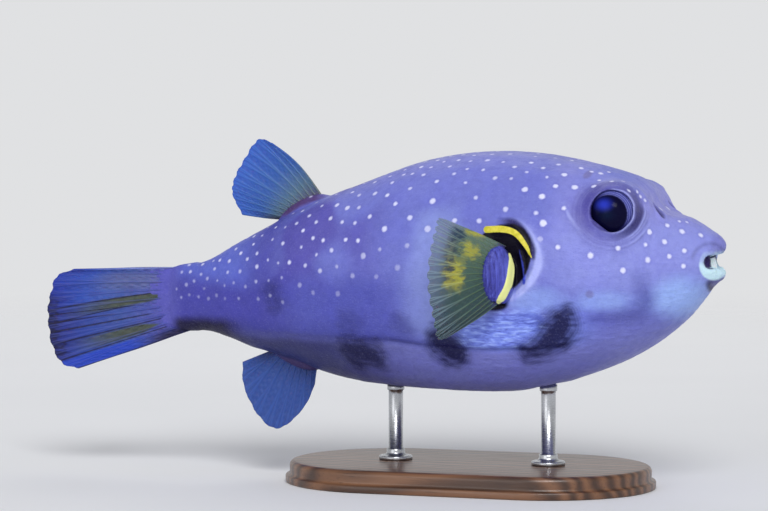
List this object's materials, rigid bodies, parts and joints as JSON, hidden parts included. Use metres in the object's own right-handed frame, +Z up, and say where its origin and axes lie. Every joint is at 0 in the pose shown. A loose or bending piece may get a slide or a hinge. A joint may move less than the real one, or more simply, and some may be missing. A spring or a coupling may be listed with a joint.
{
  "type": "white-spotted pufferfish model on a display stand",
  "caption": "Life-size white-spotted pufferfish with spread fins and open beak, swimming level on a plain display stand with steel rods and an oval wooden base.",
  "frame": {"origin": "on the floor, under the middle of the fish's length and in its middle plane", "axes": "+X towards the fish's head, +Y towards its left side, +Z up; the stand's underside lies at z = 0"},
  "size_m": [0.3002, 0.1494, 0.1431],
  "materials": {
    "skin": "satin lavender blue fish skin with small white spots, dark flank blotches and a fine prickly grain",
    "belly_skin": "smooth satin skin, plain dusky violet",
    "lip": "moist pale lip with a fine granular edge",
    "tooth": "glossy beak enamel",
    "eye": "clear gloss over a dark iris and pupil",
    "fin": "thin translucent blue web between paler rays",
    "pectoral_fin": "thin translucent olive web with yellow patches between pale rays",
    "stand_wood": "dark walnut, satin lacquer",
    "stand_steel": "brushed along the rod"
  },
  "bodies": {
    "root": {"head": "skin", "trunk": "skin", "tail_stalk": "skin", "dorsal_fin_base": "skin", "anal_fin_base": "skin", "pectoral_base_right": "skin", "pectoral_base_left": "skin", "nostril_right": "skin", "nostril_left": "skin", "belly": "belly_skin", "upper_lip": "lip", "lower_lip": "lip", "upper_tooth_right": "tooth", "upper_tooth_left": "tooth", "lower_tooth_right": "tooth", "lower_tooth_left": "tooth", "eye_right": "eye", "eye_left": "eye", "pectoral_fin_right": "pectoral_fin", "pectoral_fin_left": "pectoral_fin", "dorsal_fin": "fin", "anal_fin": "fin", "caudal_fin": "fin", "stand_base": "stand_wood", "stand_rod_front": "stand_steel", "stand_rod_back": "stand_steel"}
  },
  "joints": []
}
